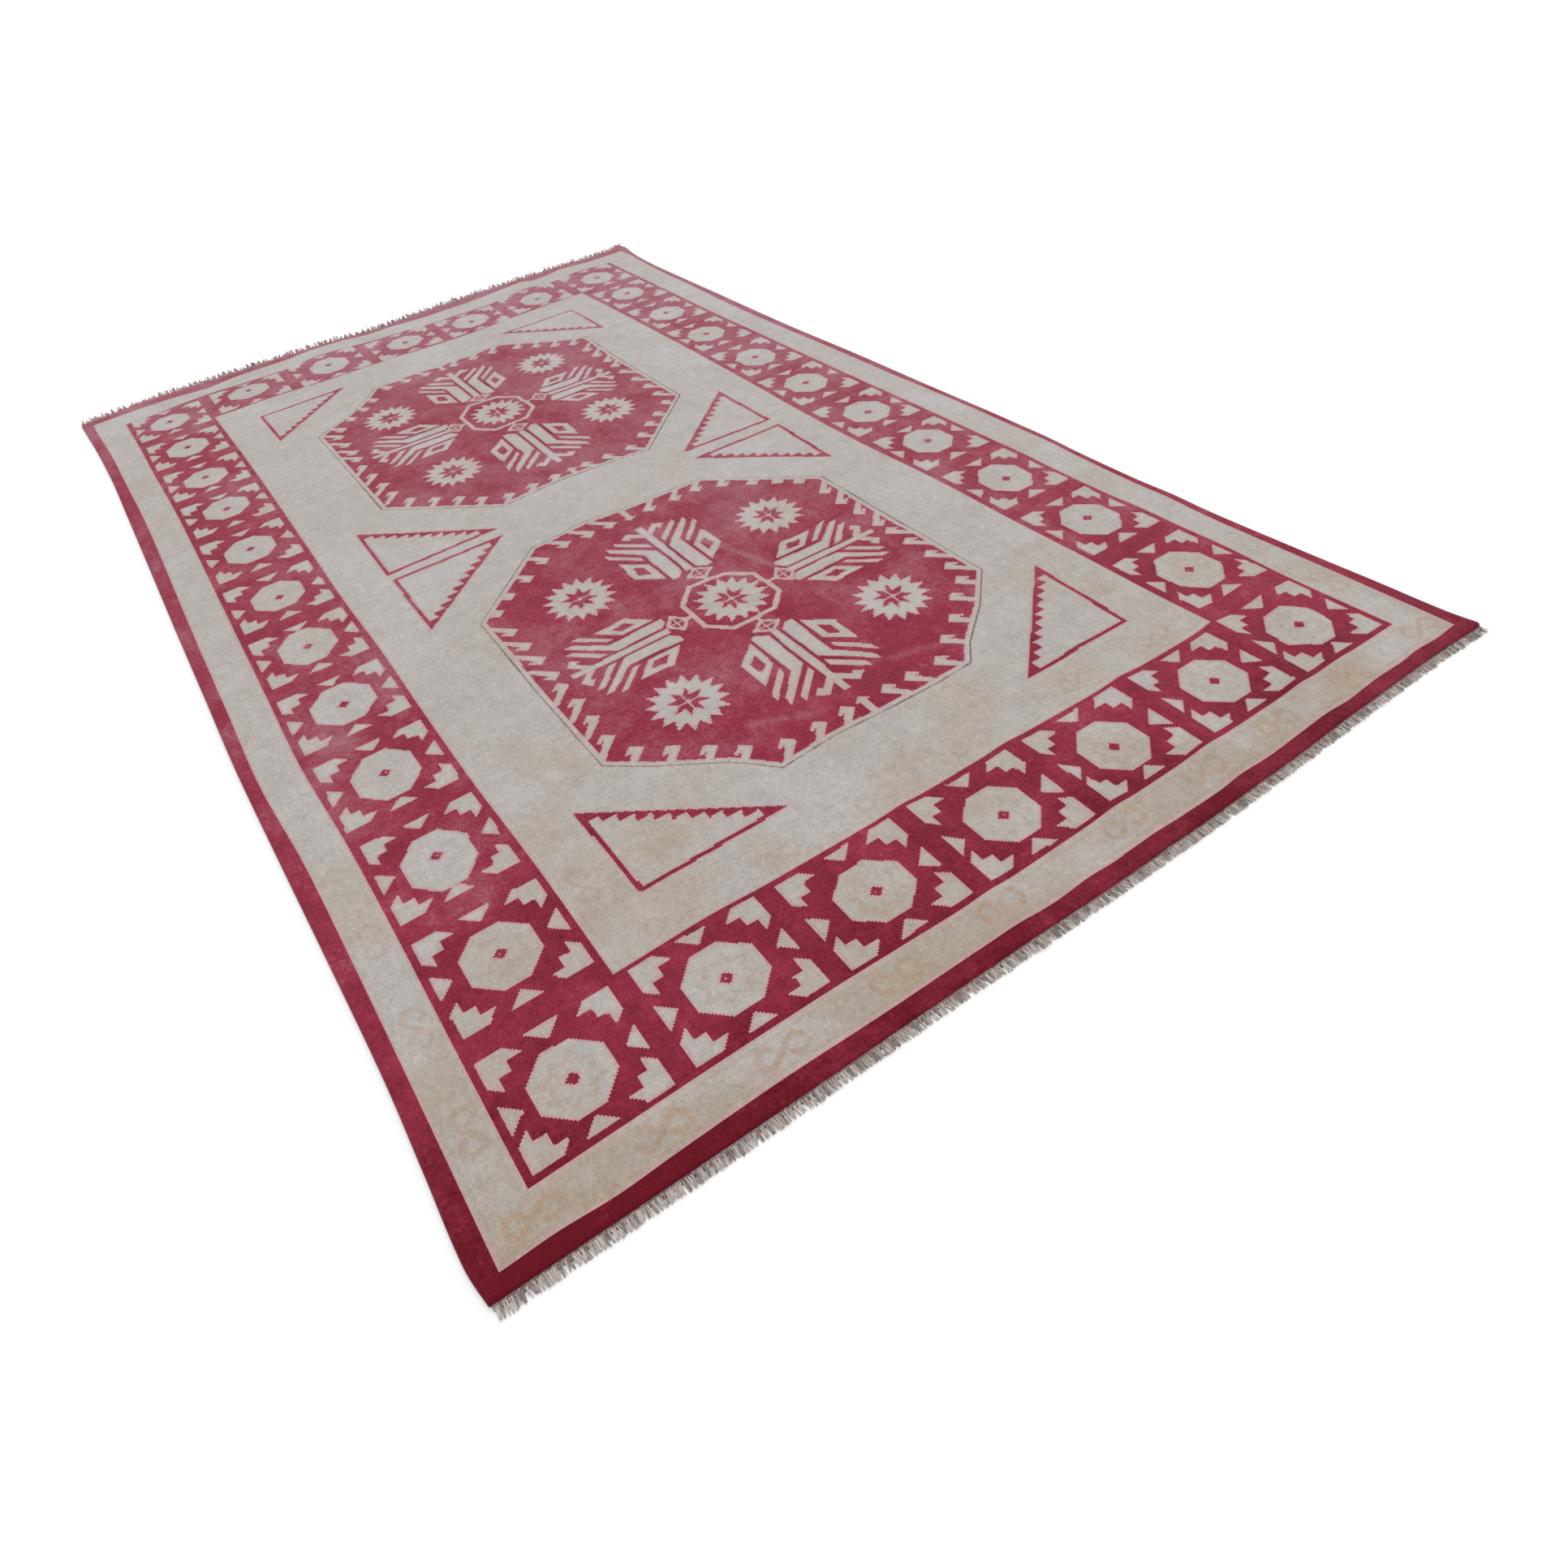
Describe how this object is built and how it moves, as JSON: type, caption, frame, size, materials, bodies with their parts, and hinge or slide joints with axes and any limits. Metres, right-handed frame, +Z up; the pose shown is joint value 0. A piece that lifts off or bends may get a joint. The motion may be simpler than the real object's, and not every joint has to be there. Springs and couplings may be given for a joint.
{
  "type": "turkish carpet",
  "caption": "Room-size hand-knotted wool carpet lying flat, with a geometric medallion field, guard and octagon borders, narrow end webs and worn cotton fringes.",
  "frame": {"origin": "on the ground under the middle of the whole carpet, fringes included", "axes": "+X across the width, +Y along the length from the near end to the far end, +Z up out of the pile"},
  "size_m": [1.784, 3.06, 0.006],
  "materials": {
    "wool_pile": "matte worn wool pile, faded red with a greyish cream pattern",
    "end_web": "matte flat-woven wool and cotton",
    "cotton_fringe": "matte greyed cotton strands"
  },
  "bodies": {
    "root": {"rug_body": "wool_pile", "end_web_near": "end_web", "end_web_far": "end_web", "fringe_near": "cotton_fringe", "fringe_far": "cotton_fringe"}
  },
  "joints": []
}
